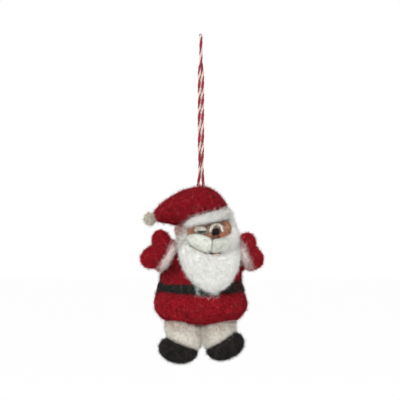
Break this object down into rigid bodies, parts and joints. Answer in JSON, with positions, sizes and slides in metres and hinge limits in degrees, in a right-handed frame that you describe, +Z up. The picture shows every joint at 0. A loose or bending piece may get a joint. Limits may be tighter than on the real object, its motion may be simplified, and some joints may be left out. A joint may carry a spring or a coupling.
{
  "type": "santa ornament",
  "caption": "Needle-felted Santa figure with raised mittens, long white beard and drooping hat, hanging from a loop of twisted red and white twine.",
  "frame": {"origin": "the point where a hook holds the loop of twine, at the inside top of its eye", "axes": "+Z up, along the hanging twine; -Y the way the face looks; +X to the right as seen from the front"},
  "size_m": [0.0789, 0.0429, 0.2103],
  "materials": {
    "twine": "cotton baker's twine, one deep red and one off-white ply",
    "red_wool": "needle-felted wool, matte, fuzzy",
    "white_wool": "needle-felted wool, matte, fuzzy",
    "pompom_wool": "felted wool ball, matte",
    "core_wool": "undyed core wool, matte",
    "trouser_wool": "needle-felted wool, matte, with stray brown fibres",
    "skin_wool": "needle-felted wool, matte",
    "nose_wool": "needle-felted wool, matte",
    "boot_wool": "needle-felted wool, matte",
    "belt_wool": "needle-felted wool, matte",
    "buckle_wool": "pale grey felt, matte",
    "pupil_wool": "needle-felted wool, matte",
    "mouth_wool": "needle-felted wool, matte",
    "lip_wool": "needle-felted wool, matte"
  },
  "bodies": {
    "hanger_eye": {"loop_eye": "twine"},
    "hanger_strands": {"strand_a": "twine", "strand_b": "twine"},
    "hanger_legs": {"leg_a": "twine", "leg_b": "twine"},
    "figure": {"stitch_a": "twine", "stitch_b": "twine", "hanger_knot": "twine", "body_core": "core_wool", "coat": "red_wool", "head": "skin_wool", "hat_crown": "red_wool", "hat_brim": "white_wool", "hat_pompom": "pompom_wool", "hair": "white_wool", "beard": "white_wool", "moustache_left": "white_wool", "moustache_right": "white_wool", "nose": "nose_wool", "eye_white_left": "white_wool", "eye_white_right": "white_wool", "pupil_left": "pupil_wool", "pupil_right": "pupil_wool", "mouth": "mouth_wool", "lower_lip": "lip_wool", "belt": "belt_wool", "buckle": "buckle_wool", "sleeve_left": "red_wool", "sleeve_right": "red_wool", "cuff_left": "white_wool", "cuff_right": "white_wool", "mitten_left": "red_wool", "mitten_right": "red_wool", "leg_left": "trouser_wool", "leg_right": "trouser_wool", "boot_left": "boot_wool", "boot_right": "boot_wool"}
  },
  "joints": [
    {"name": "twine_twist", "type": "hinge", "parent": "hanger_eye", "child": "hanger_strands", "pos_m": [0, 0, -0.01615], "axis": [0, 0, 1], "range_deg": [-180, 180]},
    {"name": "side_swing", "type": "hinge", "parent": "hanger_strands", "child": "hanger_legs", "pos_m": [0, 0, -0.0832], "axis": [0, 1, 0], "range_deg": [-60, 60]},
    {"name": "nod", "type": "hinge", "parent": "hanger_legs", "child": "figure", "pos_m": [0, 0, -0.0952], "axis": [1, 0, 0], "range_deg": [-60, 60]}
  ]
}
